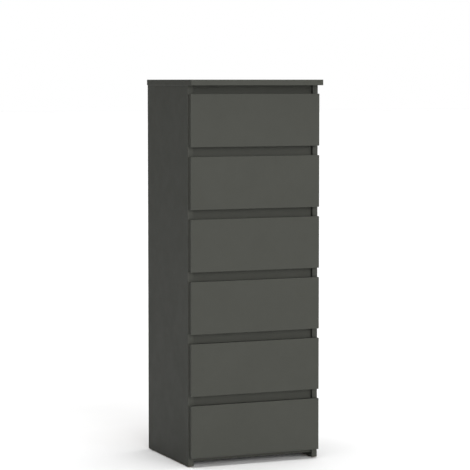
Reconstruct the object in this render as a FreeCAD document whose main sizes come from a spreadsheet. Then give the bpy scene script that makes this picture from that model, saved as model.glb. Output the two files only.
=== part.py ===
"""A tall, narrow chest with six handle-less drawers, in laminated chipboard.

Each drawer front covers the edges of the carcass, and is pulled by its own upper edge through the gap
above it, in front of a set-back rail. The boxes run on ball-bearing slides: an outer channel screwed
to the carcass, an inner channel on the drawer, and a ball cage between them that goes half as far.

Frame: millimetres, +X to the right, -Y towards the person in front, +Z up. The origin is on the floor,
under the centre of the top panel. Run from its own folder: it writes parts/NODE.step.
"""

import FreeCAD, Part
import os
import re
import Sketcher

OUT = "parts"
DRAWERS = range(6)
BALLS_IN_A_ROW = 4
SPARE_HOLES = range(1, 7)
NAILS_UP_A_SIDE = 10

# The driving dimensions, in millimetres: alias, value, what it is.
DRIVING = [
    ("chest_height", 1090, "floor to the upper face of the top panel"),
    ("chest_depth", 350, "depth of the top panel, the whole depth"),
    ("body_width", 400, "over the outer faces of the two side panels"),
    ("top_side_overhang", 2, "top panel past each side panel"),
    ("top_front_overhang", 32, "top panel in front of the carcass"),
    ("board", 16, "thickness of the laminated chipboard"),
    ("edge_round", 0.8, "radius of the banded edges"),
    ("glide_height", 2, "floor glide under a side panel"),
    ("floor_gap", 15, "floor to the underside of the bottom panel"),
    ("front_height", 148, "height of a drawer front"),
    ("front_gap", 27, "finger gap between fronts, and floor to the lowest front"),
    ("front_air", 0.5, "air between a closed front and the carcass"),
    ("front_inset", 2.5, "ends of a front inside the outer faces of the side panels"),
    ("rail_height", 50, "height of a front rail"),
    ("rail_setback", 9, "rails and bottom panel behind the front edges of the side panels"),
    ("back_board", 2.5, "thickness of the hardboard back"),
    ("rebate_deep", 3, "rebate for the back, along the depth"),
    ("rebate_wide", 8, "rebate for the back, into the side panel"),
    ("fit_air", 0.3, "air around a board that lies in a groove or rebate"),
    ("box_board", 12, "thickness of the drawer box's sides and back"),
    ("box_height", 96, "height of the drawer box"),
    ("box_length", 300, "length of a drawer side"),
    ("box_lift", 18, "underside of the box above the lower edge of its front"),
    ("groove_lift", 8, "groove for the drawer bottom above the underside of the box"),
    ("groove_wide", 3.2, "width of that groove"),
    ("groove_deep", 5, "depth of that groove"),
    ("bottom_board", 3, "thickness of the hardboard drawer bottom"),
    ("slide_gap", 12.5, "drawer side to side panel, filled by a slide"),
    ("slide_length", 295, "length of a slide's channels"),
    ("slide_start", 3, "front end of a slide behind the carcass front"),
    ("slide_steel", 1.2, "sheet thickness of the channels"),
    ("outer_half", 17.5, "half the height of the outer channel"),
    ("outer_reach", 10, "width of the outer channel's flanges"),
    ("outer_lip", 3, "height of the lips that keep the balls in"),
    ("inner_half", 12.7, "half the height of the inner channel"),
    ("inner_reach", 8, "width of the inner channel's flanges"),
    ("drawer_travel", 220, "how far a drawer opens"),
    ("cage_skin", 0.6, "sheet thickness of a ball cage"),
    ("cage_half", 14.8, "half the height of a ball cage"),
    ("cage_near", 3.2, "ball cage from the side panel, nearest point"),
    ("cage_far", 8.4, "ball cage from the side panel, furthest point"),
    ("ball_radius", 1.7, "bearing ball"),
    ("ball_hole", 1.85, "radius of the cage's hole around a ball"),
    ("ball_out", 6.1, "centre of a ball from the side panel"),
    ("ball_up", 14.5, "centre of a ball above the middle of the slide"),
    ("joint_front", 50, "first cam bolt behind the carcass front"),
    ("joint_back", 260, "second cam bolt behind the carcass front"),
    ("dowel_front", 82, "first dowel behind the carcass front"),
    ("dowel_back", 228, "second dowel behind the carcass front"),
    ("dowel_radius", 3.95, "wooden dowel"),
    ("dowel_hole", 4, "radius of a dowel's hole"),
    ("dowel_long", 20, "dowel in the end of a board"),
    ("dowel_short", 10, "dowel in the face of a board"),
    ("rail_dowel", 12.5, "dowel above the lower edge of a rail"),
    ("rail_bolt", 37.5, "cam bolt above the lower edge of a rail"),
    ("cam_radius", 7.4, "cam disc"),
    ("cam_hole", 7.5, "radius of a cam's pocket"),
    ("cam_deep", 12.5, "depth of a cam's pocket"),
    ("cam_offset", 34, "centre of a cam from the end of its board"),
    ("bolt_channel", 3.8, "radius of the drilling that lets a bolt through to its cam"),
    ("bolt_thread", 2.5, "radius of a cam bolt's thread"),
    ("bolt_bite", 10.5, "depth of a cam bolt in the face of a board"),
    ("bolt_shank", 2, "radius of a cam bolt's shank"),
    ("bolt_collar", 3.3, "radius of a cam bolt's collar and of its head"),
    ("bolt_disc", 1.5, "thickness of the collar and of the head"),
    ("cam_slot", 1.6, "width and depth of the screwdriver slot in a cam"),
    ("cam_slot_length", 9, "length of that slot"),
    ("screw_radius", 1.75, "pan-head screw"),
    ("screw_head", 3.4, "radius of its head"),
    ("screw_crown", 1.5, "height of its head"),
    ("screw_hole", 2.1, "radius of a screw's hole in sheet steel"),
    ("screw_bite", 10, "depth of a screw in a board"),
    ("screw_front", 35, "first screw behind a slide's front end"),
    ("screw_back", 259, "second screw behind a slide's front end"),
    ("hole_pitch", 32, "spacing of the spare holes between a slide's two screws"),
    ("spare_hole", 2.6, "radius of a spare hole"),
    ("bracket_spread", 140, "wall bracket from the middle of the chest"),
    ("bracket_leg", 30, "length of a bracket's leg"),
    ("bracket_wide", 20, "width of a bracket"),
    ("bracket_steel", 1.5, "sheet thickness of a bracket"),
    ("bracket_screw", 18, "bracket's wood screw in front of the back panel"),
    ("anchor_drop", 18, "wall screw below the top panel"),
    ("anchor_hole", 3, "radius of a wall screw's hole"),
    ("nail_radius", 0.7, "nail for the back panel"),
    ("nail_head", 2, "radius of its head"),
    ("nail_crown", 0.4, "height of its head"),
    ("nail_length", 18, "length of its shank"),
    ("nail_spread", 110, "outer nails of the bottom panel from the middle of the chest"),
    ("glide_radius", 7, "floor glide"),
    ("glide_pin", 1, "radius of a glide's pin"),
    ("glide_bite", 10, "depth of that pin in its side panel"),
    ("glide_inset", 25, "centre of a glide from the front or back of its side panel"),
]

# Formulas that several parts share.
PITCH = "(front_height + front_gap)"
FRONT = "(top_front_overhang - chest_depth / 2)"
INNER_WIDTH = "(body_width - 2 * board)"
FRONT_WIDTH = "(body_width - 2 * front_inset)"
CARCASS_DEPTH = "(chest_depth - top_front_overhang)"
SIDE_HEIGHT = "(chest_height - board - glide_height)"
FIRST_RAIL = "(front_gap + front_height + front_gap / 2 - rail_height / 2)"
BOX_FRONT = "(top_front_overhang - chest_depth / 2 - front_air)"
BOX_HALF = "(body_width / 2 - board - slide_gap)"
CAGE_LENGTH = "(slide_length - drawer_travel)"

UP = FreeCAD.Vector(0, 0, 1)
BACK = FreeCAD.Vector(0, 1, 0)

# Each origin plane's role, and the sign of its normal along the axis that names it.
PLANES = {"x": ("YZ_Plane", 1), "y": ("XZ_Plane", -1), "z": ("XY_Plane", 1)}

doc = FreeCAD.newDocument("tall_chest_of_drawers")
sheet = doc.addObject("Spreadsheet::Sheet", "Sizes")
for row, (alias, value, note) in enumerate(DRIVING, start=1):
    sheet.set(f"A{row}", alias)
    sheet.set(f"B{row}", str(value))
    sheet.set(f"C{row}", note)
    sheet.setAlias(f"B{row}", alias)
doc.recompute()

ALIASES = re.compile(r"\b(" + "|".join(alias for alias, _, _ in DRIVING) + r")\b")
nodes = []
cuts = []


# ---------------------------------------------------------------- helpers


def bound(formula):
    """The formula with every alias written as a reference to the sheet."""
    return ALIASES.sub(r"Sizes.\1", formula)


def mm(formula):
    """The formula's value, worked out from the sheet's cells."""
    return float(sheet.evalExpression(formula))


def bind(thing, prop, formula):
    thing.setExpression(prop, bound(formula))


def place(thing, at):
    """Binds the three coordinates of a thing's place to formulas."""
    for direction, formula in zip("xyz", at):
        bind(thing, "Placement.Base." + direction, formula)


def new_body(label, at=("0", "0", "0")):
    body = doc.addObject("PartDesign::Body", label)
    body.Label = label
    place(body, at)
    return body


def new_sketch(body, axis, level):
    """A sketch in the body's origin plane across that axis, moved along the axis to the level."""
    role, normal = PLANES[axis]
    sketch = body.newObject("Sketcher::SketchObject", body.Name + "_sketch")
    plane = next(f for f in body.Origin.OriginFeatures if f.Role == role)
    sketch.AttachmentSupport = [(plane, "")]
    sketch.MapMode = "FlatFace"
    bind(sketch, "AttachmentOffset.Base.z", level if normal > 0 else f"-({level})")
    return sketch


def pin_point(sketch, geometry, end, across, up):
    """Ties a point of the sketch to two formulas, its distances from the sketch's origin."""
    for kind, axis_line, formula in (("DistanceX", -2, across), ("DistanceY", -1, up)):
        if formula == "0":
            sketch.addConstraint(Sketcher.Constraint("PointOnObject", geometry, end, axis_line))
        else:
            index = sketch.addConstraint(Sketcher.Constraint(kind, -1, 1, geometry, end, 1.0))
            bind(sketch, f"Constraints[{index}]", formula)


def draw_outline(sketch, points):
    """A closed outline of straight lines through points that are pairs of formulas."""
    count = len(points)
    for i in range(count):
        start = FreeCAD.Vector(i, i * i, 0)
        stop = FreeCAD.Vector(i + 1, (i + 1) ** 2, 0)
        sketch.addGeometry(Part.LineSegment(start, stop), False)
    for i in range(count):
        sketch.addConstraint(Sketcher.Constraint("Coincident", i, 2, (i + 1) % count, 1))
    for i, (across, up) in enumerate(points):
        pin_point(sketch, i, 1, across, up)


def draw_rectangle(sketch, left, low, right, high):
    draw_outline(sketch, [(left, low), (right, low), (right, high), (left, high)])


def draw_circles(sketch, centres, radius):
    for i, (across, up) in enumerate(centres):
        circle = Part.Circle(FreeCAD.Vector(i + 1, i + 1, 0), FreeCAD.Vector(0, 0, 1), 1)
        sketch.addGeometry(circle, False)
        pin_point(sketch, i, 3, across, up)
        index = sketch.addConstraint(Sketcher.Constraint("Radius", i, 1.0))
        bind(sketch, f"Constraints[{index}]", radius)


def add_pad(body, sketch, axis, length):
    """Material from the sketch towards the positive end of the axis."""
    pad = body.newObject("PartDesign::Pad", body.Name + "_pad")
    pad.Profile = sketch
    pad.Reversed = PLANES[axis][1] < 0
    bind(pad, "Length", length)
    return pad


def add_pocket(body, sketch, axis, towards, length):
    """A cut from the sketch towards +1 or -1 along the axis."""
    base = body.Tip
    pocket = body.newObject("PartDesign::Pocket", body.Name + "_pocket")
    pocket.Profile = sketch
    pocket.Reversed = towards == PLANES[axis][1]
    bind(pocket, "Length", length)
    cuts.append((base, pocket))
    return pocket


def drill(body, axis, level, towards, centres, radius, depth):
    """Round holes of one kind, drilled from the level on that axis."""
    sketch = new_sketch(body, axis, level)
    draw_circles(sketch, centres, radius)
    add_pocket(body, sketch, axis, towards, depth)


def plough(body, axis, level, towards, corners, depth):
    """A groove or rebate with a rectangular outline: left, low, right and high."""
    sketch = new_sketch(body, axis, level)
    draw_rectangle(sketch, *corners)
    add_pocket(body, sketch, axis, towards, depth)


def new_board(label, size, at):
    """A rectangular board with one corner at its own origin."""
    body = new_body(label, at)
    sketch = new_sketch(body, "z", "0")
    draw_rectangle(sketch, "0", "0", size[0], size[1])
    add_pad(body, sketch, "z", size[2])
    return body


def round_edges(body, wanted):
    """Rounds the edges whose middle passes the test. It is given as 0, 0.5 or 1 along each axis."""
    doc.recompute()
    base = body.Tip
    box = base.Shape.BoundBox
    names = []
    for i, edge in enumerate(base.Shape.Edges, start=1):
        middle = edge.CenterOfMass
        shares = (
            (middle.x - box.XMin) / box.XLength,
            (middle.y - box.YMin) / box.YLength,
            (middle.z - box.ZMin) / box.ZLength,
        )
        if wanted(*(round(share, 1) for share in shares)):
            names.append(f"Edge{i}")
    fillet = body.newObject("PartDesign::Fillet", body.Name + "_round")
    fillet.Base = (base, names)
    bind(fillet, "Radius", "edge_round")


def keep(thing):
    """Counts a thing as a sub-part, written to its own file."""
    nodes.append(thing)
    return thing


def spot(at, rotation=FreeCAD.Rotation()):
    return FreeCAD.Placement(FreeCAD.Vector(*at), rotation)


def aimed(at, x_axis, z_axis):
    """A place whose own X and Z axes point those ways."""
    return spot(at, FreeCAD.Rotation(x_axis, z_axis.cross(x_axis), z_axis, "XZY"))


def placed_copy(shape, where):
    copy = shape.copy()
    copy.Placement = where.multiply(shape.Placement)
    return copy


def new_group(label, masters, spots, at=("0", "0", "0")):
    """One sub-part made of many separate solids: every master's solids, repeated at each spot."""
    doc.recompute()
    shapes = [getattr(master, "Shape", master) for master in masters]
    solids = [placed_copy(solid, where) for where in spots for shape in shapes for solid in shape.Solids]
    group = doc.addObject("Part::Feature", label)
    group.Label = label
    group.Shape = Part.makeCompound(solids)
    place(group, at)
    return keep(group)


# ---------------------------------------------------------------- carcass


def rail_bottom(drawer):
    """Height of the lower edge of the rail over a drawer: the last one is right under the top panel."""
    if drawer == DRAWERS[-1]:
        return "(chest_height - board - rail_height)"
    return f"({FIRST_RAIL} + {drawer} * {PITCH})"


def side_panel(label, side):
    """A side panel: side is -1 for the left one, whose inner face looks towards +X, and +1 for the right."""
    left = "-body_width / 2" if side < 0 else "body_width / 2 - board"
    size = ("board", CARCASS_DEPTH, SIDE_HEIGHT)
    body = keep(new_board(label, size, (left, FRONT, "glide_height")))
    outer = 0 if side < 0 else 1
    round_edges(body, lambda x, y, z: z < 1 and (y == 0 or z == 0) or (x == outer and z == 0.5))
    inner = "board" if side < 0 else "0"
    rail_middle = "rail_setback + board / 2"
    bottom_middle = "floor_gap + board / 2 - glide_height"
    dowels = [(rail_middle, f"{rail_bottom(n)} + rail_dowel - glide_height") for n in DRAWERS]
    bolts = [(rail_middle, f"{rail_bottom(n)} + rail_bolt - glide_height") for n in DRAWERS]
    dowels += [("dowel_front", bottom_middle), ("dowel_back", bottom_middle)]
    bolts += [("joint_front", bottom_middle), ("joint_back", bottom_middle)]
    drill(body, "x", inner, side, dowels, "dowel_hole", "dowel_short")
    drill(body, "x", inner, side, bolts, "bolt_thread", "bolt_bite")
    cam_level = f"{SIDE_HEIGHT} - cam_offset"
    cams = [("joint_front", cam_level), ("joint_back", cam_level)]
    drill(body, "x", inner, side, cams, "cam_hole", "cam_deep")
    channels = [("board / 2", "joint_front"), ("board / 2", "joint_back")]
    drill(body, "z", SIDE_HEIGHT, -1, channels, "bolt_channel", "cam_offset")
    ends = [("board / 2", "dowel_front"), ("board / 2", "dowel_back")]
    drill(body, "z", SIDE_HEIGHT, -1, ends, "dowel_hole", "dowel_long")
    low = ("board - rebate_wide", "board") if side < 0 else ("0", "rebate_wide")
    corners = (low[0], f"{CARCASS_DEPTH} - rebate_deep", low[1], CARCASS_DEPTH)
    plough(body, "z", "0", 1, corners, SIDE_HEIGHT)


def top_panel():
    size = ("body_width + 2 * top_side_overhang", "chest_depth", "board")
    at = ("-body_width / 2 - top_side_overhang", "-chest_depth / 2", "chest_height - board")
    body = keep(new_board("top_panel", size, at))
    round_edges(body, lambda x, y, z: True)
    left = "top_side_overhang + board / 2"
    right = "body_width + top_side_overhang - board / 2"

    def under(depth):
        return [(x, f"top_front_overhang + {depth}") for x in (left, right)]

    bolts = under("joint_front") + under("joint_back")
    dowels = under("dowel_front") + under("dowel_back")
    drill(body, "z", "0", 1, bolts, "bolt_thread", "bolt_bite")
    drill(body, "z", "0", 1, dowels, "dowel_hole", "dowel_short")


def drill_ends(body, bolts, dowels):
    """Drillings in both ends of a board between the side panels."""
    for level, towards in (("0", 1), (INNER_WIDTH, -1)):
        drill(body, "x", level, towards, bolts, "bolt_channel", "cam_offset")
        drill(body, "x", level, towards, dowels, "dowel_hole", "dowel_long")


def bottom_panel():
    """It is set back as far as the rails, so depths in it are counted from there."""
    size = (INNER_WIDTH, f"{CARCASS_DEPTH} - rail_setback - rebate_deep", "board")
    at = (f"-{INNER_WIDTH} / 2", f"{FRONT} + rail_setback", "floor_gap")
    body = keep(new_board("bottom_panel", size, at))
    round_edges(body, lambda x, y, z: x == 0.5 and y == 0)
    bolt_depths = ("joint_front - rail_setback", "joint_back - rail_setback")
    dowel_depths = ("dowel_front - rail_setback", "dowel_back - rail_setback")
    bolts = [(depth, "board / 2") for depth in bolt_depths]
    dowels = [(depth, "board / 2") for depth in dowel_depths]
    drill_ends(body, bolts, dowels)
    cam_places = ("cam_offset", f"{INNER_WIDTH} - cam_offset")
    cams = [(across, depth) for across in cam_places for depth in bolt_depths]
    drill(body, "z", "0", 1, cams, "cam_hole", "cam_deep")


def front_rail(drawer):
    at = (f"-{INNER_WIDTH} / 2", f"{FRONT} + rail_setback", rail_bottom(drawer))
    body = keep(new_board(f"front_rail_{drawer + 1}", (INNER_WIDTH, "board", "rail_height"), at))
    round_edges(body, lambda x, y, z: x == 0.5 and y == 0)
    drill_ends(body, [("board / 2", "rail_bolt")], [("board / 2", "rail_dowel")])
    cams = [(x, "rail_bolt") for x in ("cam_offset", f"{INNER_WIDTH} - cam_offset")]
    drill(body, "y", "board", -1, cams, "cam_hole", "cam_deep")


def back_panel():
    width = f"({INNER_WIDTH} + 2 * rebate_wide - 2 * fit_air)"
    height = "(chest_height - board - floor_gap - fit_air)"
    at = (f"-{width} / 2", "chest_depth / 2 - rebate_deep", "floor_gap")
    body = keep(new_board("back_panel", (width, "back_board", height), at))
    level = f"{height} + fit_air - anchor_drop"
    anchors = [(f"{width} / 2 - bracket_spread", level), (f"{width} / 2 + bracket_spread", level)]
    drill(body, "y", "0", 1, anchors, "anchor_hole", "back_board")


# ---------------------------------------------------------------- slides


def channel(name, half, web_left):
    """A slide's channel: half its outline and the mirror image, with screw holes and spare holes through
    its web."""
    body = new_body(name)
    sketch = new_sketch(body, "y", "0")
    draw_outline(sketch, half + mirrored(half))
    add_pad(body, sketch, "y", "slide_length")
    screws = [("screw_front", "0"), ("screw_back", "0")]
    drill(body, "x", web_left, 1, screws, "screw_hole", "slide_steel")
    spares = [(f"screw_front + {n} * hole_pitch", "0") for n in SPARE_HOLES]
    drill(body, "x", web_left, 1, spares, "spare_hole", "slide_steel")
    return body


def outer_channel():
    """The channel on the right side panel, from the panel's inner face at x = 0 to -outer_reach."""
    lip = "outer_half - outer_lip"
    half = [
        ("0", "-outer_half"),
        ("-outer_reach", "-outer_half"),
        ("-outer_reach", f"-({lip})"),
        ("slide_steel - outer_reach", f"-({lip})"),
        ("slide_steel - outer_reach", "slide_steel - outer_half"),
        ("-slide_steel", "slide_steel - outer_half"),
    ]
    return channel("outer_channel", half, "-slide_steel")


def inner_channel():
    """The channel on the drawer's right side, from the drawer side at x = 0 to inner_reach."""
    half = [
        ("0", "-inner_half"),
        ("inner_reach", "-inner_half"),
        ("inner_reach", "slide_steel - inner_half"),
        ("slide_steel", "slide_steel - inner_half"),
    ]
    return channel("inner_channel", half, "0")


def mirrored(half):
    """The upper half of a channel's outline, from its lower half."""
    return [(across, f"-({up})") for across, up in reversed(half)]


def ball_cage():
    """The thin channel that carries the balls, placed as the outer channel is."""
    body = new_body("cage_channel")
    sketch = new_sketch(body, "y", "0")
    web = "-cage_near - cage_skin"
    half = [
        ("-cage_near", "-cage_half"),
        ("-cage_far", "-cage_half"),
        ("-cage_far", "cage_skin - cage_half"),
        (web, "cage_skin - cage_half"),
    ]
    draw_outline(sketch, half + mirrored(half))
    add_pad(body, sketch, "y", CAGE_LENGTH)
    seats = [("-ball_out", ball_place(ball)) for ball in range(BALLS_IN_A_ROW)]
    drill(body, "z", "-cage_half", 1, seats, "ball_hole", "2 * cage_half")
    return body


def ball_place(ball):
    """How far along its cage a ball sits: evenly spaced, half a space from the ends."""
    return f"{CAGE_LENGTH} * ({ball} + 1 / 2) / {BALLS_IN_A_ROW}"


def balls():
    """The balls of one cage: a row above and a row below."""
    made = []
    for ball in range(BALLS_IN_A_ROW):
        for side in (-1, 1):
            sphere = doc.addObject("Part::Sphere", "ball")
            bind(sphere, "Radius", "ball_radius")
            place(sphere, ("-ball_out", ball_place(ball), f"{side} * ball_up"))
            made.append(sphere)
    return made


def pair_spots(x):
    """Places of a right and a left piece at that distance from the middle: the left one is turned over."""
    upright = FreeCAD.Rotation()
    turned_over = FreeCAD.Rotation(FreeCAD.Vector(0, 1, 0), 180)
    return [spot((x, 0, 0), upright), spot((-x, 0, 0), turned_over)]


def stacked(spots):
    """The same places, repeated for every drawer."""
    pitch = mm(PITCH)
    return [spot((0, 0, n * pitch)).multiply(where) for n in DRAWERS for where in spots]


def slide_level(drawer):
    """Height of the middle of a drawer's slides."""
    return f"front_gap + {drawer} * {PITCH} + box_lift + box_height / 2"


def outer_slides():
    inner_face = mm(f"{INNER_WIDTH} / 2")
    at = ("0", f"{FRONT} + slide_start", slide_level(0))
    new_group("outer_slides", [outer_channel()], stacked(pair_spots(inner_face)), at)


def slide_screws(screw):
    """The screws that hold the outer channels to the side panels."""
    web_face = mm(f"{INNER_WIDTH} / 2 - slide_steel")
    spots = []
    for along in (mm("screw_front"), mm("screw_back")):
        for where in pair_spots(web_face):
            spots.append(where.multiply(spot((0, along, 0))))
    at = ("0", f"{FRONT} + slide_start", slide_level(0))
    new_group("slide_screws", [screw], stacked(spots), at)


def drawer_slides(screw):
    """Each drawer's pair of inner channels, with the screws that hold them."""
    half = mm(BOX_HALF)
    towards_box = FreeCAD.Rotation(FreeCAD.Vector(0, 1, 0), 180)
    inner = inner_channel()
    screws = []
    for along in (mm("screw_front"), mm("screw_back")):
        where = spot((mm("slide_steel"), along, 0), towards_box)
        screws.append(placed_copy(screw.Shape, where))
    for drawer in DRAWERS:
        at = ("0", f"{FRONT} + slide_start", slide_level(drawer))
        new_group(f"drawer_{drawer + 1}_inner_slides", [inner] + screws, pair_spots(half), at)


def slide_cages():
    """Each drawer's two ball cages. With the drawer closed, half its travel is left in front of them."""
    inner_face = mm(f"{INNER_WIDTH} / 2")
    masters = [ball_cage()] + balls()
    for drawer in DRAWERS:
        at = ("0", f"{FRONT} + slide_start + drawer_travel / 2", slide_level(drawer))
        new_group(f"slide_cages_{drawer + 1}", masters, pair_spots(inner_face), at)


# ---------------------------------------------------------------- drawers


def drawer_boards(drawer):
    """The five boards of one drawer, each a sub-part of its own."""
    name = f"drawer_{drawer + 1}_"
    low = f"(front_gap + {drawer} * {PITCH})"
    box_low = f"({low} + box_lift)"
    floor = f"({box_low} + groove_lift + (groove_wide - bottom_board) / 2)"
    bottom_half = f"({BOX_HALF} - box_board + groove_deep - fit_air)"

    front_at = (f"-{FRONT_WIDTH} / 2", f"{BOX_FRONT} - board", low)
    front = keep(new_board(name + "front", (FRONT_WIDTH, "board", "front_height"), front_at))
    round_edges(front, lambda x, y, z: True)
    groove_low = "box_lift + groove_lift"
    left = f"{FRONT_WIDTH} / 2 - {bottom_half} - fit_air"
    right = f"{FRONT_WIDTH} / 2 + {bottom_half} + fit_air"
    corners = (left, groove_low, right, f"{groove_low} + groove_wide")
    plough(front, "y", "board", -1, corners, "groove_deep")

    size = ("box_board", "box_length", "box_height")
    corners = ("0", "groove_lift", "box_length", "groove_lift + groove_wide")
    for word, edge, face, towards in (
        ("left_side", f"-{BOX_HALF}", "box_board", -1),
        ("right_side", f"{BOX_HALF} - box_board", "0", 1),
    ):
        side = keep(new_board(name + word, size, (edge, BOX_FRONT, box_low)))
        plough(side, "x", face, towards, corners, "groove_deep")

    back_low = f"({floor} + bottom_board)"
    size = (f"2 * ({BOX_HALF} - box_board)", "box_board", f"{box_low} + box_height - {back_low}")
    at = (f"box_board - {BOX_HALF}", f"{BOX_FRONT} + box_length - box_board", back_low)
    keep(new_board(name + "back", size, at))

    size = (f"2 * {bottom_half}", "box_length + groove_deep - fit_air", "bottom_board")
    at = (f"-{bottom_half}", f"{BOX_FRONT} - groove_deep + fit_air", floor)
    keep(new_board(name + "bottom", size, at))


# ---------------------------------------------------------------- fittings


def pin(name, radius, start, length):
    """A cylinder along X."""
    cylinder = doc.addObject("Part::Cylinder", name)
    bind(cylinder, "Radius", radius)
    bind(cylinder, "Height", length)
    bind(cylinder, "Placement.Base.x", start)
    cylinder.Placement.Rotation = FreeCAD.Rotation(FreeCAD.Vector(0, 1, 0), 90)
    return cylinder


def fused(name, pieces):
    fuse = doc.addObject("Part::MultiFuse", name)
    fuse.Shapes = pieces
    return fuse


def cam_bolt():
    """It screws into the face of a board at x = 0, on its -X side, and runs along +X to its cam."""
    thread = pin("bolt_thread_part", "bolt_thread", "-bolt_bite", "bolt_bite")
    collar = pin("bolt_collar_part", "bolt_collar", "0", "bolt_disc")
    shank = pin("bolt_shank_part", "bolt_shank", "0", "cam_offset")
    head = pin("bolt_head_part", "bolt_collar", "cam_offset - bolt_disc", "bolt_disc")
    return fused("cam_bolt", [thread, collar, shank, head])


def cam_disc():
    """The cam: it opens on its board's face at z = -board / 2, and is hollow round the bolt's head."""
    disc = doc.addObject("Part::Cylinder", "cam_blank")
    bind(disc, "Radius", "cam_radius")
    bind(disc, "Height", "cam_deep")
    place(disc, ("cam_offset", "0", "-board / 2"))
    mouth = pin("cam_mouth", "bolt_channel", "cam_offset - cam_hole", "cam_hole + bolt_disc")
    slot = doc.addObject("Part::Box", "cam_slot_part")
    bind(slot, "Length", "cam_slot_length")
    bind(slot, "Width", "cam_slot")
    bind(slot, "Height", "cam_slot")
    place(slot, ("cam_offset - cam_slot_length / 2", "-cam_slot / 2", "-board / 2"))
    cam = doc.addObject("Part::Cut", "cam_disc")
    cam.Base = disc
    cam.Tool = fused("cam_cutters", [mouth, slot])
    return cam


def pan_screw():
    """Its head's flat side is at x = 0 and its point on the +X side."""
    shank = pin("screw_shank_part", "screw_radius", "0", "screw_bite + slide_steel")
    head = pin("screw_head_part", "screw_head", "-screw_crown", "screw_crown")
    return fused("pan_screw", [shank, head])


def joint_spots(front_depth, back_depth, up_the_rail):
    """Places on the carcass joints: +X into the board drilled in its end, +Z away from its cams' face."""
    inner_face = mm(f"{INNER_WIDTH} / 2")
    middle = mm("(body_width - board) / 2")
    under_top = mm("chest_height - board")
    bottom_middle = mm("floor_gap + board / 2")
    rail_middle = mm(f"{FRONT} + rail_setback + board / 2")
    rail_levels = [mm(f"{rail_bottom(n)} + {up_the_rail}") for n in DRAWERS]
    spots = []
    for side in (-1, 1):
        inwards = FreeCAD.Vector(-side, 0, 0)
        for depth in (mm(f"{FRONT} + {front_depth}"), mm(f"{FRONT} + {back_depth}")):
            spots.append(aimed((side * middle, depth, under_top), -UP, -inwards))
            spots.append(aimed((side * inner_face, depth, bottom_middle), inwards, UP))
        for level in rail_levels:
            spots.append(aimed((side * inner_face, rail_middle, level), inwards, -BACK))
    return spots


def joint_fittings():
    bolts = joint_spots("joint_front", "joint_back", "rail_bolt")
    new_group("cam_fittings", [cam_bolt(), cam_disc()], bolts)
    dowel = pin("dowel", "dowel_radius", "fit_air - dowel_short", "dowel_long + dowel_short - 2 * fit_air")
    dowels = joint_spots("dowel_front", "dowel_back", "rail_dowel")
    new_group("wooden_dowels", [dowel], dowels)


def back_panel_nails():
    """Nails through the back: a row up each side panel, and three along the bottom panel."""
    shank = pin("nail_shank_part", "nail_radius", "0", "nail_length")
    head = pin("nail_head_part", "nail_head", "-nail_crown", "nail_crown")
    face = mm("chest_depth / 2 - rebate_deep + back_board")
    across = mm(f"({INNER_WIDTH} + rebate_wide) / 2")
    spread = mm("nail_spread")
    bottom_middle = mm("floor_gap + board / 2")
    lowest = mm("cam_offset")
    step = mm("chest_height - board - 2 * cam_offset") / (NAILS_UP_A_SIDE - 1)
    spots = [aimed((x, face, bottom_middle), -BACK, UP) for x in (-spread, 0, spread)]
    for side in (-1, 1):
        for i in range(NAILS_UP_A_SIDE):
            spots.append(aimed((side * across, face, lowest + i * step), -BACK, UP))
    new_group("back_panel_nails", [fused("nail", [shank, head])], spots)


def floor_glides():
    """Four plastic glides, pinned to the undersides of the side panels, near their corners."""
    disc = pin("glide_disc", "glide_radius", "-glide_height", "glide_height")
    spike = pin("glide_spike", "glide_pin", "0", "glide_bite")
    glide = fused("glide", [disc, spike])
    across = mm("(body_width - board) / 2")
    front = mm(f"{FRONT} + glide_inset")
    back = mm("chest_depth / 2 - glide_inset")
    height = mm("glide_height")
    spots = []
    for side in (-1, 1):
        for depth in (front, back):
            spots.append(aimed((side * across, depth, height), UP, BACK))
    new_group("floor_glides", [glide], spots)


def wall_brackets(screw):
    """Two steel angles in the top corner of the back, each screwed up into the top panel. A wall screw
    goes through the other leg and the back panel."""
    body = new_body("bracket")
    sketch = new_sketch(body, "x", "-bracket_wide / 2")
    angle = [
        ("0", "0"),
        ("0", "-bracket_leg"),
        ("-bracket_steel", "-bracket_leg"),
        ("-bracket_steel", "-bracket_steel"),
        ("-bracket_leg", "-bracket_steel"),
        ("-bracket_leg", "0"),
    ]
    draw_outline(sketch, angle)
    add_pad(body, sketch, "x", "bracket_wide")
    drill(body, "y", "0", -1, [("0", "-anchor_drop")], "anchor_hole", "bracket_steel")
    drill(body, "z", "0", -1, [("0", "-bracket_screw")], "screw_hole", "bracket_steel")
    doc.recompute()
    under = (0, -mm("bracket_screw"), -mm("bracket_steel"))
    wood_screw = placed_copy(screw.Shape, aimed(under, UP, BACK))
    spread = mm("bracket_spread")
    spots = [spot((-spread, 0, 0)), spot((spread, 0, 0))]
    at = ("0", "chest_depth / 2 - rebate_deep", "chest_height - board")
    new_group("wall_brackets", [body, wood_screw], spots, at)


# ---------------------------------------------------------------- the whole


def build():
    top_panel()
    side_panel("left_side_panel", -1)
    side_panel("right_side_panel", 1)
    bottom_panel()
    back_panel()
    for drawer in DRAWERS:
        front_rail(drawer)
        drawer_boards(drawer)
    screw = pan_screw()
    doc.recompute()
    outer_slides()
    slide_screws(screw)
    drawer_slides(screw)
    slide_cages()
    joint_fittings()
    back_panel_nails()
    floor_glides()
    wall_brackets(screw)
    doc.recompute()


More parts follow.
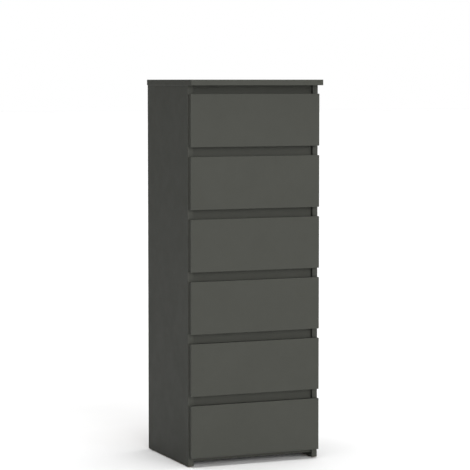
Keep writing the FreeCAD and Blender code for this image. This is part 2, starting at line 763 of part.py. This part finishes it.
def check():
    """Stops on a failed object, a cut that took nothing away, or a sub-part that isn't whole."""
    for thing in doc.Objects:
        if "Invalid" in thing.State or "Error" in thing.State:
            raise RuntimeError(f"{thing.Name} failed: {thing.State}")
    for base, pocket in cuts:
        if pocket.Shape.Volume > base.Shape.Volume - 1:
            raise RuntimeError(f"{pocket.Name} cuts nothing")
    for node in nodes:
        if node.Shape.isNull() or not node.Shape.isValid() or not node.Shape.Solids:
            raise RuntimeError(f"{node.Label} has no valid solid")


def write():
    os.makedirs(OUT, exist_ok=True)
    for node in nodes:
        node.Shape.exportStep(f"{OUT}/{node.Label}.step")
    print(len(nodes), "sub-parts written")


build()
check()
write()
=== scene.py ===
"""Looks of the tall chest of drawers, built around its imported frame. Metres, +Z up, -Y to the front."""

import math

import bmesh
import bpy
from mathutils import Matrix, Vector


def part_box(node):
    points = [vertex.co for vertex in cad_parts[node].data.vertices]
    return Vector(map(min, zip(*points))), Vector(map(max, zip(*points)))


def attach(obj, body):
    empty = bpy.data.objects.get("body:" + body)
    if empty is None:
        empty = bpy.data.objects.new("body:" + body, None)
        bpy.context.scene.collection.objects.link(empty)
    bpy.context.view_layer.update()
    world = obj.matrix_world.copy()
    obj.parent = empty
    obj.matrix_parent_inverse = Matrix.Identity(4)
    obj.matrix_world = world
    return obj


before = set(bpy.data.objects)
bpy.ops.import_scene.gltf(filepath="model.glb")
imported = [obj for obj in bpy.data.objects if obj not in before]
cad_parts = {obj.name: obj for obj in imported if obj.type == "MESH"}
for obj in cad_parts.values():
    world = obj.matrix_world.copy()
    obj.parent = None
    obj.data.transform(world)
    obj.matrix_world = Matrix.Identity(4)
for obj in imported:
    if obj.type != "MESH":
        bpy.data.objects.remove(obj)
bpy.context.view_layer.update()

MM = 0.001
DRAWERS = range(1, 7)
SIDES = {"left": -1, "right": 1}

BACKWARDS, FORWARDS = (0, 1, 0), (0, -1, 0)
LEFT, RIGHT = (-1, 0, 0), (1, 0, 0)
UP, DOWN = (0, 0, 1), (0, 0, -1)

# Linear colours.
GRAPHITE = (0.0385, 0.0398, 0.0330)
GRAPHITE_LIGHT = (0.0448, 0.0462, 0.0388)
# Lighter graphite for the arrises: part wear, part a painted highlight along them.
GRAPHITE_WEAR_AND_HIGHLIGHT = (0.100, 0.102, 0.092)
SEAM = (0.026, 0.027, 0.023)
LINEN = (0.46, 0.455, 0.43)
LINEN_LIGHT = (0.58, 0.575, 0.55)
CHIP_LIGHT = (0.46, 0.335, 0.205)
CHIP_DARK = (0.175, 0.104, 0.055)
HARDBOARD = (0.205, 0.124, 0.070)
HARDBOARD_DARK = (0.118, 0.066, 0.036)
BEECH = (0.60, 0.41, 0.24)
BEECH_PORE = (0.33, 0.185, 0.09)
ZINC = (0.62, 0.63, 0.65)
ZINC_DULL = (0.50, 0.51, 0.54)
STRIP = (0.50, 0.49, 0.46)
STRIP_DULL = (0.36, 0.34, 0.30)
CAST = (0.50, 0.50, 0.52)
CAST_DULL = (0.40, 0.40, 0.42)
BLACK = (0.012, 0.012, 0.012)
BLACK_RUBBED = (0.03, 0.03, 0.03)
FLOOR = (0.86, 0.86, 0.86)
FLOOR_LIGHT = (0.90, 0.90, 0.90)


# ---------------------------------------------------------------- node building

FACING = (0.6, 0.8)  # a surface comes to count as facing a way as along() goes from one to the other
MIDDLE = (0.3, 0.7)  # most of a noise's output lies between these


class Graph:
    """A material's nodes, with short calls for the ones used here."""

    def __init__(self, name):
        self.material = bpy.data.materials.new(name)
        self.material.use_nodes = True
        self.tree = self.material.node_tree
        self.shader = self.tree.nodes["Principled BSDF"]
        self.place = self.node("ShaderNodeTexCoord").outputs["Object"]

    def node(self, kind, **settings):
        node = self.tree.nodes.new(kind)
        for key, value in settings.items():
            setattr(node, key, value)
        return node

    def feed(self, socket, value):
        """Links an output to a socket, or sets a plain value on it."""
        if isinstance(value, bpy.types.NodeSocket):
            self.tree.links.new(value, socket)
        elif socket.type == "RGBA" and len(value) == 3:
            socket.default_value = (*value, 1)
        else:
            socket.default_value = value

    def set(self, name, value):
        self.feed(self.shader.inputs[name], value)

    def surface(self, colour, rough, normal):
        """Sets the shader's colour, roughness and normal, and gives the material."""
        self.set("Base Color", colour)
        self.set("Roughness", rough)
        self.set("Normal", normal)
        return self.material

    def math(self, operation, *values, clamp=False):
        node = self.node("ShaderNodeMath", operation=operation, use_clamp=clamp)
        for socket, value in zip(node.inputs, values):
            self.feed(socket, value)
        return node.outputs[0]

    def weighted(self, *parts):
        """The sum of values, each given as a pair with its weight in front."""
        total, *others = [self.math("MULTIPLY", value, weight) for weight, value in parts]
        for other in others:
            total = self.math("ADD", total, other)
        return total

    def vector(self, operation, *values):
        node = self.node("ShaderNodeVectorMath", operation=operation)
        for socket, value in zip(node.inputs, values):
            self.feed(socket, value)
        return node.outputs["Value" if operation == "DOT_PRODUCT" else "Vector"]

    def noise(self, size, detail, roughness=0.5, stretch=(1, 1, 1)):
        """Noise whose grain is about that many metres, drawn out along an axis by a stretch above 1."""
        node = self.node("ShaderNodeTexNoise")
        scaled = self.vector("MULTIPLY", self.place, tuple(1 / (size * s) for s in stretch))
        self.feed(node.inputs["Vector"], scaled)
        node.inputs["Scale"].default_value = 1
        node.inputs["Detail"].default_value = detail
        node.inputs["Roughness"].default_value = roughness
        return node.outputs["Fac"]

    def cells(self, size, stretch=(1, 1, 1), output="Color"):
        """Cells about that many metres across: a colour for each, or the distance from its middle."""
        node = self.node("ShaderNodeTexVoronoi")
        scaled = self.vector("MULTIPLY", self.place, tuple(1 / (size * s) for s in stretch))
        self.feed(node.inputs["Vector"], scaled)
        node.inputs["Scale"].default_value = 1
        return node.outputs[output]

    def span(self, value, low, high, to_low=0.0, to_high=1.0):
        """A value moved from one range to another, and kept inside it."""
        node = self.node("ShaderNodeMapRange", interpolation_type="SMOOTHSTEP")
        for socket, number in zip(node.inputs, (value, low, high, to_low, to_high)):
            self.feed(socket, number)
        return node.outputs["Result"]

    def mix(self, share, first, second):
        """The first colour where the share is 0, and the second where it is 1."""
        node = self.node("ShaderNodeMix", data_type="RGBA")
        self.feed(node.inputs[0], share)
        self.feed(node.inputs[6], first)
        self.feed(node.inputs[7], second)
        return node.outputs[2]

    def bump(self, height, depth, below=None):
        """A bump of that many metres, on top of another one."""
        node = self.node("ShaderNodeBump")
        self.feed(node.inputs["Height"], height)
        node.inputs["Distance"].default_value = depth
        if below is not None:
            self.feed(node.inputs["Normal"], below)
        return node.outputs["Normal"]

    def along(self, way):
        """How far the surface faces that way, from -1 to 1."""
        normal = self.node("ShaderNodeTexCoord").outputs["Normal"]
        return self.vector("DOT_PRODUCT", normal, way)

    def facing_either(self, axis):
        """1 where the surface faces along that axis, either way, and 0 elsewhere."""
        return self.span(self.math("ABSOLUTE", self.along(axis)), *FACING)

    def facing_one_of(self, ways):
        """1 where the surface faces one of those ways, and 0 elsewhere."""
        largest, *others = [self.span(self.along(way), *FACING) for way in ways]
        for other in others:
            largest = self.math("MAXIMUM", largest, other)
        return largest

    def from_arris(self, node_name):
        """Distance over the surface from the nearest arris of a board that fills its box."""
        low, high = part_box(node_name)
        offset = self.vector("ABSOLUTE", self.vector("SUBTRACT", self.place, tuple((low + high) / 2)))
        inside = self.vector("SUBTRACT", tuple((high - low) / 2), offset)
        split = self.node("ShaderNodeSeparateXYZ")
        self.feed(split.inputs[0], inside)
        x, y, z = split.outputs
        rest = self.math("MINIMUM", self.math("MAXIMUM", x, y), z)
        return self.math("MAXIMUM", self.math("MINIMUM", x, y), rest)


def thin_axis(node_name):
    """The unit vector across a board's faces."""
    low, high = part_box(node_name)
    size = list(high - low)
    return tuple(1.0 if i == size.index(min(size)) else 0.0 for i in range(3))


# ---------------------------------------------------------------- board materials

BAND_SEAM = 0.9 * MM  # from an arris to the seam between the edge band and the face
SEAM_HALF = 0.04 * MM  # half the width of the seam's line
SEAM_FADE = 0.08 * MM  # its soft edge, outside that
ARRIS_WEAR_AND_HIGHLIGHT = (0.1 * MM, 1.1 * MM)  # wear and a painted highlight fade out between these distances from an arris
FOIL_WORN = (0.05 * MM, 0.9 * MM)

# How deep each grain's bump is.
PEARL_DEPTH = 0.035 * MM
RIPPLE_DEPTH = 0.05 * MM
STROKE_DEPTH = 0.03 * MM
SEAM_DEPTH = 0.06 * MM
CHIP_DEPTH = 0.25 * MM
WEAVE_DEPTH = 0.05 * MM
FIBRE_DEPTH = 0.12 * MM

# How rough each surface is, between its two kinds of patches where it has them.
MELAMINE_ROUGH = (0.6, 0.66)
FOIL_ROUGH = (0.5, 0.62)
FIBRE_ROUGH = 0.86
PRINT_ROUGH = 0.5
WEAR_TAKES = 0.08  # off the roughness
RAW_ADDS = 0.4  # to the roughness

# How strongly each mark covers the colour under it.
DUST_SHOWS = 0.5
SEAM_SHOWS = 0.7
# how strongly the arrises' wear and painted highlight cover the foil
WEAR_AND_HIGHLIGHT_SHOWS = 0.55
FOIL_WEAR_SHOWS = 0.35

PRINT_PALER = 1.12  # how much paler the print's light patches are


def chipboard(graph):
    """Colour and height of a raw cut through chipboard."""
    flakes = graph.cells(1.3 * MM, stretch=(2.2, 2.2, 1))
    split = graph.node("ShaderNodeSeparateColor")
    graph.feed(split.inputs[0], flakes)
    dust = graph.noise(0.5 * MM, detail=3)
    colour = graph.mix(graph.span(split.outputs[0], 0.15, 0.95), CHIP_DARK, CHIP_LIGHT)
    colour = graph.mix(graph.span(dust, 0.35, 0.7, 0, DUST_SHOWS), colour, CHIP_DARK)
    return colour, graph.math("ADD", split.outputs[1], dust)


def with_raw_ends(graph, ways, colour, normal):
    """A colour and a normal turned to raw chipboard where the surface faces one of the ways, and its mask."""
    bare = graph.facing_one_of(ways)
    chips, height = chipboard(graph)
    colour = graph.mix(bare, colour, chips)
    normal = graph.bump(graph.math("MULTIPLY", height, bare), CHIP_DEPTH, below=normal)
    return colour, normal, bare


def melamine(node_name, raw=()):
    """Graphite melamine foil with a fine pearl, banded edges with their seam, and raw chipboard ends."""
    graph = Graph("graphite_" + node_name)
    faces = graph.facing_either(thin_axis(node_name))
    edges = graph.math("SUBTRACT", 1, faces)
    arris = graph.from_arris(node_name)

    drift = graph.noise(160 * MM, detail=2)
    cloud = graph.noise(21 * MM, detail=4, roughness=0.6)
    speck = graph.noise(0.55 * MM, detail=1)
    tone = graph.weighted((0.25, drift), (0.2, cloud), (0.55, speck))
    colour = graph.mix(graph.span(tone, *MIDDLE), GRAPHITE, GRAPHITE_LIGHT)

    # Arrises turn lighter, broken up by scuffs: part edge wear, part a painted highlight along every arris.
    scuff = graph.span(graph.noise(9 * MM, detail=5, roughness=0.7), 0.42, 0.62, 0.25, 1)
    wear = graph.math("MULTIPLY", graph.span(arris, *ARRIS_WEAR_AND_HIGHLIGHT, 1, 0), scuff)
    colour = graph.mix(graph.math("MULTIPLY", wear, WEAR_AND_HIGHLIGHT_SHOWS), colour, GRAPHITE_WEAR_AND_HIGHLIGHT)

    inner = graph.span(arris, BAND_SEAM - SEAM_HALF - SEAM_FADE, BAND_SEAM - SEAM_HALF)
    outer = graph.span(arris, BAND_SEAM + SEAM_HALF, BAND_SEAM + SEAM_HALF + SEAM_FADE, 1, 0)
    seam = graph.math("MULTIPLY", graph.math("MULTIPLY", inner, outer), faces)
    colour = graph.mix(graph.math("MULTIPLY", seam, SEAM_SHOWS), colour, SEAM)

    pearl = graph.cells(0.42 * MM, output="Distance")
    ripple = graph.noise(1.1 * MM, detail=2)
    strokes = graph.noise(0.25 * MM, detail=1, stretch=(14, 14, 1))
    normal = graph.bump(graph.math("MULTIPLY", pearl, faces), PEARL_DEPTH)
    normal = graph.bump(ripple, RIPPLE_DEPTH, below=normal)
    normal = graph.bump(graph.math("MULTIPLY", strokes, edges), STROKE_DEPTH, below=normal)
    normal = graph.bump(graph.math("MULTIPLY", seam, -1), SEAM_DEPTH, below=normal)

    smudge = graph.noise(45 * MM, detail=5, roughness=0.62)
    rough = graph.span(smudge, *MIDDLE, *MELAMINE_ROUGH)
    rough = graph.math("SUBTRACT", rough, graph.math("MULTIPLY", wear, WEAR_TAKES))

    if raw:
        colour, normal, bare = with_raw_ends(graph, raw, colour, normal)
        rough = graph.math("ADD", rough, graph.math("MULTIPLY", bare, RAW_ADDS), clamp=True)
    graph.set("Specular IOR Level", 0.2)
    return graph.surface(colour, rough, normal)


def linen_foil(node_name, raw):
    """Pale grey foil with a printed and embossed linen weave, and raw chipboard ends."""
    graph = Graph("linen_" + node_name)
    arris = graph.from_arris(node_name)
    upright = graph.noise(0.5 * MM, detail=1, stretch=(1, 1, 30))
    across = graph.noise(0.5 * MM, detail=1, stretch=(30, 30, 1))
    weave = graph.math("ADD", upright, across)
    cloud = graph.noise(50 * MM, detail=3)
    tone = graph.weighted((0.42, weave), (0.16, cloud))
    colour = graph.mix(graph.span(tone, 0.38, 0.62), LINEN, LINEN_LIGHT)

    scuff = graph.span(graph.noise(12 * MM, detail=5, roughness=0.7), 0.45, 0.62, 0.1, 1)
    wear = graph.math("MULTIPLY", graph.span(arris, *FOIL_WORN, 1, 0), scuff)
    colour = graph.mix(graph.math("MULTIPLY", wear, FOIL_WEAR_SHOWS), colour, CHIP_LIGHT)

    normal = graph.bump(weave, WEAVE_DEPTH)
    rough = graph.span(graph.noise(40 * MM, detail=4), *MIDDLE, *FOIL_ROUGH)
    colour, normal, _ = with_raw_ends(graph, raw, colour, normal)
    graph.set("Specular IOR Level", 0.4)
    return graph.surface(colour, rough, normal)


def hardboard(name, printed, print_way):
    """Fibre board, brown and felted, with a printed face on the side that faces print_way."""
    graph = Graph(name)
    fibre = graph.noise(0.9 * MM, detail=4, roughness=0.65, stretch=(5, 1, 1.6))
    fleck = graph.noise(2.6 * MM, detail=5, roughness=0.75)
    cloud = graph.noise(90 * MM, detail=4)
    tone = graph.weighted((0.5, fibre), (0.42, fleck), (0.08, cloud))
    colour = graph.mix(graph.span(tone, 0.36, 0.64), HARDBOARD_DARK, HARDBOARD)

    face = graph.facing_one_of([print_way])
    mottle = graph.math("ADD", graph.noise(120 * MM, detail=2), graph.noise(0.7 * MM, detail=2))
    paler = tuple(channel * PRINT_PALER for channel in printed)
    colour = graph.mix(face, colour, graph.mix(graph.span(mottle, 0.8, 1.2), printed, paler))
    smoother = graph.math("MULTIPLY", face, FIBRE_ROUGH - PRINT_ROUGH)
    rough = graph.math("SUBTRACT", FIBRE_ROUGH, smoother)
    normal = graph.bump(graph.math("ADD", fibre, fleck), FIBRE_DEPTH)
    graph.set("Specular IOR Level", 0.3)
    return graph.surface(colour, rough, normal)


# ---------------------------------------------------------------- fitting materials

ROLLING_DEPTH = 0.012 * MM
PORE_DEPTH = 0.08 * MM
GRAIN_DEPTH = 0.03 * MM

ZINC_ROUGH, STRIP_ROUGH, CAST_ROUGH = 0.3, 0.38, 0.45
PLATE_ROUGH_SWING = (-0.04, 0.05)  # round those three
BEECH_ROUGH = (0.75, 0.6)
PLASTIC_ROUGH = (0.56, 0.44)


def zinc_plate(name, colour, dull, rough):
    """Plated sheet steel: faint spangle, rolling lines along its length and a little grime."""
    graph = Graph(name)
    spangle = graph.cells(3.2 * MM)
    split = graph.node("ShaderNodeSeparateColor")
    graph.feed(split.inputs[0], spangle)
    rolling = graph.noise(0.25 * MM, detail=2, stretch=(1, 60, 1))
    grime = graph.noise(14 * MM, detail=5, roughness=0.7)
    tone = graph.weighted((0.2, split.outputs[0]), (0.8, grime))
    colour = graph.mix(graph.span(tone, 0.25, 0.75), dull, colour)
    swing = [rough + step for step in PLATE_ROUGH_SWING]
    rough = graph.span(graph.math("ADD", rolling, grime), 0.7, 1.3, *swing)
    graph.set("Metallic", 1.0)
    return graph.surface(colour, rough, graph.bump(rolling, ROLLING_DEPTH))


def beech():
    """End-cut beech dowel: pale, with dark pores drawn out along the dowel."""
    graph = Graph("beech_dowel")
    pores = graph.noise(0.5 * MM, detail=3, roughness=0.6, stretch=(9, 1, 1))
    rings = graph.noise(3 * MM, detail=2, stretch=(6, 1, 1))
    tone = graph.weighted((0.6, pores), (0.4, rings))
    colour = graph.mix(graph.span(tone, 0.35, 0.65), BEECH_PORE, BEECH)
    rough = graph.span(pores, *MIDDLE, *BEECH_ROUGH)
    return graph.surface(colour, rough, graph.bump(pores, PORE_DEPTH))


def moulded_plastic():
    """Black injection-moulded plastic with an eroded grain and a few paler rub marks."""
    graph = Graph("black_plastic")
    grain = graph.noise(0.28 * MM, detail=2)
    rub = graph.noise(5 * MM, detail=5, roughness=0.7)
    colour = graph.mix(graph.span(rub, 0.4, 0.7), BLACK, BLACK_RUBBED)
    rough = graph.span(rub, 0.35, 0.7, *PLASTIC_ROUGH)
    return graph.surface(colour, rough, graph.bump(grain, GRAIN_DEPTH))


# ---------------------------------------------------------------- dressing the frame


def dress(node_name, material):
    """Gives a node of the frame its material."""
    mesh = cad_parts[node_name].data
    mesh.materials.clear()
    mesh.materials.append(material)


def dress_carcass():
    dress("top_panel", melamine("top_panel"))
    for side in SIDES:
        name = f"{side}_side_panel"
        dress(name, melamine(name, raw=[BACKWARDS, DOWN, UP]))
    dress("bottom_panel", melamine("bottom_panel", raw=[BACKWARDS, RIGHT, LEFT]))
    for rail in DRAWERS:
        name = f"front_rail_{rail}"
        dress(name, melamine(name, raw=[RIGHT, LEFT]))
    dress("back_panel", hardboard("back_hardboard", GRAPHITE, FORWARDS))


def dress_drawers():
    for drawer in DRAWERS:
        prefix = f"drawer_{drawer}_"
        dress(prefix + "front", melamine(prefix + "front"))
        for side in SIDES:
            name = f"{prefix}{side}_side"
            dress(name, linen_foil(name, raw=[BACKWARDS]))
        dress(prefix + "back", linen_foil(prefix + "back", raw=[DOWN]))
    bottom = hardboard("drawer_hardboard", LINEN_LIGHT, UP)
    for drawer in DRAWERS:
        dress(f"drawer_{drawer}_bottom", bottom)


def dress_fittings():
    plate = zinc_plate("zinc_plated_steel", ZINC, ZINC_DULL, ZINC_ROUGH)
    strip = zinc_plate("cage_steel", STRIP, STRIP_DULL, STRIP_ROUGH)
    cast = zinc_plate("cast_zinc", CAST, CAST_DULL, CAST_ROUGH)
    for name in ("outer_slides", "slide_screws", "back_panel_nails", "wall_brackets"):
        dress(name, plate)
    for drawer in DRAWERS:
        dress(f"drawer_{drawer}_inner_slides", plate)
        dress(f"slide_cages_{drawer}", strip)
    dress("cam_fittings", cast)
    dress("wooden_dowels", beech())
    plastic = moulded_plastic()
    dress("floor_glides", plastic)
    drawer_fittings(cast, plate)
    closing_pads(plastic)


# ---------------------------------------------------------------- small fittings

BOX_CAM_RADIUS = 7.5 * MM
BOX_CAM_PROUD = 0.5 * MM
BOX_CAM_BACK = 24 * MM  # behind the front
BOX_CAM_LOW = 30 * MM  # above the lower edge of a drawer's side
BOX_CAM_HIGH = 22 * MM  # below its upper edge
BOX_SCREW_RADIUS = 3.6 * MM
BOX_SCREW_PROUD = 0.4 * MM
BOX_SCREW_EDGE = 18 * MM  # from the lower and upper edges
PAD_RADIUS = 4 * MM
PAD_PROUD = 0.35 * MM
PAD_DROP = 12 * MM  # below the upper edge of a front

HEAD_SEGMENTS = 24
HEAD_BEVEL = 0.35  # of how proud a head is
CROSS_MOUTH = (0.62, 0.13)  # reach and half the width of the cross, as shares of the head's radius
CROSS_BOTTOM = (0.5, 0.08)
CROSS_LEVEL = 0.12  # the recess ends that far above the board, as a share of how proud the head is
PAD_CROWN = [(1, 0.4), (0.93, 0.8), (0.75, 1)]  # shares of a pad's radius and of how proud it is
ARRIS_ANGLE = 30  # degrees between two faces, above which their shared edge is sharp


def ring(mesh, place, radius, level):
    """A ring of points round the place's own Z, turned so that every second one is by a cross's corner."""
    points = []
    for i in range(HEAD_SEGMENTS):
        turn = 2 * math.pi * (i - 1) / HEAD_SEGMENTS
        at = Vector((radius * math.cos(turn), radius * math.sin(turn), level))
        points.append(mesh.verts.new(place @ at))
    return points


def cross(mesh, place, reach, half_width, level):
    """The twelve corners of a cross, in order round it."""
    points = []
    for quarter in range(4):
        turned = Matrix.Rotation(math.radians(90 * quarter), 4, "Z")
        for x, y in ((reach, -half_width), (reach, half_width), (half_width, half_width)):
            points.append(mesh.verts.new(place @ turned @ Vector((x, y, level))))
    return points


def skirt(mesh, upper, lower):
    """Faces between two rings with the same number of points."""
    count = len(upper)
    for i in range(count):
        j = (i + 1) % count
        mesh.faces.new((upper[i], lower[i], lower[j], upper[j]))


def stepped_disc(mesh, place, profile):
    """A disc whose rings of (radius, level) run from its buried underside to its top. Gives the top ring."""
    rings = [ring(mesh, place, radius, level) for radius, level in profile]
    mesh.faces.new(rings[0])
    for lower, upper in zip(rings, rings[1:]):
        skirt(mesh, upper, lower)
    return rings[-1]


def crossed_head(mesh, place, radius, proud):
    """A low round head with a bevelled rim and a tapering cross recess."""
    bevel = HEAD_BEVEL * proud
    profile = [(radius, -proud), (radius, proud - bevel), (radius - bevel, proud)]
    rim = stepped_disc(mesh, place, profile)
    mouth = cross(mesh, place, *(share * radius for share in CROSS_MOUTH), proud)
    count = len(mouth)
    for i in range(count):
        j = (i + 1) % count
        mesh.faces.new((mouth[j], mouth[i], rim[2 * i], rim[2 * i + 1], rim[2 * j]))
    bottom = cross(mesh, place, *(share * radius for share in CROSS_BOTTOM), CROSS_LEVEL * proud)
    skirt(mesh, mouth, bottom)
    mesh.faces.new(bottom)


def pad(mesh, place, radius, proud):
    """A soft round pad with a crowned top."""
    crown = [(across * radius, up * proud) for across, up in PAD_CROWN]
    mesh.faces.new(stepped_disc(mesh, place, [(radius, -proud)] + crown))


def on_face(at, way):
    """A place on a board's face whose own Z points the way the face looks."""
    turn = Vector(UP).rotation_difference(Vector(way)).to_matrix().to_4x4()
    return Matrix.Translation(at) @ turn


def finished(name, mesh, material, body):
    """Makes a piece of the mesh, with smooth sides and sharp arrises, and lets it ride on its body."""
    bmesh.ops.recalc_face_normals(mesh, faces=mesh.faces)
    data = bpy.data.meshes.new(name)
    mesh.to_mesh(data)
    mesh.free()
    data.shade_smooth()
    data.set_sharp_from_angle(angle=math.radians(ARRIS_ANGLE))
    data.materials.append(material)
    piece = bpy.data.objects.new(name, data)
    bpy.context.scene.collection.objects.link(piece)
    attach(piece, body)


def drawer_fittings(cast, plate):
    """Cams that pull each side of a box against its front, and the screws that hold its back."""
    for drawer in DRAWERS:
        cams = bmesh.new()
        screws = bmesh.new()
        back_low, back_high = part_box(f"drawer_{drawer}_back")
        back_middle = (back_low.y + back_high.y) / 2
        for word, side in SIDES.items():
            low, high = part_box(f"drawer_{drawer}_{word}_side")
            inner, outer = (low.x, high.x) if side > 0 else (high.x, low.x)
            for level in (low.z + BOX_CAM_LOW, high.z - BOX_CAM_HIGH):
                at = (inner, low.y + BOX_CAM_BACK, level)
                crossed_head(cams, on_face(at, (-side, 0, 0)), BOX_CAM_RADIUS, BOX_CAM_PROUD)
            for level in (low.z + BOX_SCREW_EDGE, high.z - BOX_SCREW_EDGE):
                at = (outer, back_middle, level)
                crossed_head(screws, on_face(at, (side, 0, 0)), BOX_SCREW_RADIUS, BOX_SCREW_PROUD)
        body = f"drawer_{drawer}"
        finished(f"{body}_cams", cams, cast, body)
        finished(f"{body}_back_screws", screws, plate, body)


def closing_pads(material):
    """Thin pads on the side panels' front edges, where the upper corners of the fronts close on them."""
    pads = bmesh.new()
    for word in SIDES:
        low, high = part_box(f"{word}_side_panel")
        for drawer in DRAWERS:
            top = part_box(f"drawer_{drawer}_front")[1].z
            at = ((low.x + high.x) / 2, low.y, top - PAD_DROP)
            pad(pads, on_face(at, FORWARDS), PAD_RADIUS, PAD_PROUD)
    finished("closing_pads", pads, material, "carcass")


# ---------------------------------------------------------------- the studio

CAMERA_AT = (-2.281, -5.380, 1.086)
CAMERA_HEADING = 23.007  # degrees to the right of straight ahead
CAMERA_DIP = 3.957  # degrees below level
CAMERA_LENS = 154.89  # millimetres
CAMERA_SENSOR = 36  # its width, in millimetres
CAMERA_SHIFT = -0.03
CAMERA_REACH = 100
ROOM_DIM = 0.03
ROOM_BRIGHT = 0.55
BRIGHT_WAY = (0.9, -0.436, 0)  # towards the brightest part of the room
OVERHEAD_LIGHT = 2.45
OVERHEAD_SPREAD = 45  # degrees across
FRONT_LIGHT = 3.15
FRONT_SPREAD = 55  # degrees across
FRONT_HEADING = 2  # degrees to the right of straight in front
FRONT_HEIGHT = 11  # degrees above level
FLOOR_HALF = 60  # half the floor's length and width


def camera():
    data = bpy.data.cameras.new("camera")
    data.lens = CAMERA_LENS
    data.sensor_width = CAMERA_SENSOR
    data.shift_y = CAMERA_SHIFT
    data.clip_end = CAMERA_REACH
    thing = bpy.data.objects.new("camera", data)
    thing.location = CAMERA_AT
    thing.rotation_euler = (math.radians(90 - CAMERA_DIP), 0, math.radians(-CAMERA_HEADING))
    bpy.context.scene.collection.objects.link(thing)
    bpy.context.scene.camera = thing


def floor():
    """A wide pale floor with a barely mottled matt finish."""
    mesh = bpy.data.meshes.new("floor")
    plane = bmesh.new()
    bmesh.ops.create_grid(plane, x_segments=1, y_segments=1, size=FLOOR_HALF)
    plane.to_mesh(mesh)
    plane.free()
    thing = bpy.data.objects.new("floor", mesh)
    bpy.context.scene.collection.objects.link(thing)
    graph = Graph("floor")
    mottle = graph.noise(300 * MM, detail=3)
    graph.set("Base Color", graph.mix(mottle, FLOOR, FLOOR_LIGHT))
    graph.set("Roughness", 0.9)
    graph.set("Specular IOR Level", 0.1)
    mesh.materials.append(graph.material)


def soft_sun(name, heading, height, spread, strength):
    """A wide, distant light. Heading is to the right of straight in front, and all angles are in degrees."""
    data = bpy.data.lights.new(name, "SUN")
    data.energy = strength
    data.angle = math.radians(spread)
    thing = bpy.data.objects.new(name, data)
    thing.rotation_euler = (math.radians(90 - height), 0, math.radians(heading))
    bpy.context.scene.collection.objects.link(thing)


def studio():
    """A plain room that lights from the right and looks white, a wide light overhead and one in front."""
    world = bpy.data.worlds.new("studio")
    world.use_nodes = True
    nodes = world.node_tree.nodes
    links = world.node_tree.links
    way = nodes.new("ShaderNodeVectorMath")
    way.operation = "DOT_PRODUCT"
    way.inputs[1].default_value = BRIGHT_WAY
    links.new(nodes.new("ShaderNodeTexCoord").outputs["Generated"], way.inputs[0])
    dimming = nodes.new("ShaderNodeMapRange")
    for socket, number in zip(dimming.inputs[1:], (-1, 1, ROOM_DIM, ROOM_BRIGHT)):
        socket.default_value = number
    links.new(way.outputs["Value"], dimming.inputs[0])
    room = nodes["Background"]
    room.inputs["Color"].default_value = (1, 1, 1, 1)
    links.new(dimming.outputs["Result"], room.inputs["Strength"])
    backdrop = nodes.new("ShaderNodeBackground")
    backdrop.inputs["Color"].default_value = (1, 1, 1, 1)
    ray = nodes.new("ShaderNodeLightPath")
    either = nodes.new("ShaderNodeMixShader")
    links.new(ray.outputs["Is Camera Ray"], either.inputs[0])
    links.new(room.outputs[0], either.inputs[1])
    links.new(backdrop.outputs[0], either.inputs[2])
    links.new(either.outputs[0], nodes["World Output"].inputs["Surface"])
    bpy.context.scene.world = world
    soft_sun("overhead", 0, 90, OVERHEAD_SPREAD, OVERHEAD_LIGHT)
    soft_sun("front", FRONT_HEADING, FRONT_HEIGHT, FRONT_SPREAD, FRONT_LIGHT)
    bpy.context.scene.view_settings.view_transform = "Standard"


dress_carcass()
dress_drawers()
dress_fittings()
camera()
floor()
studio()
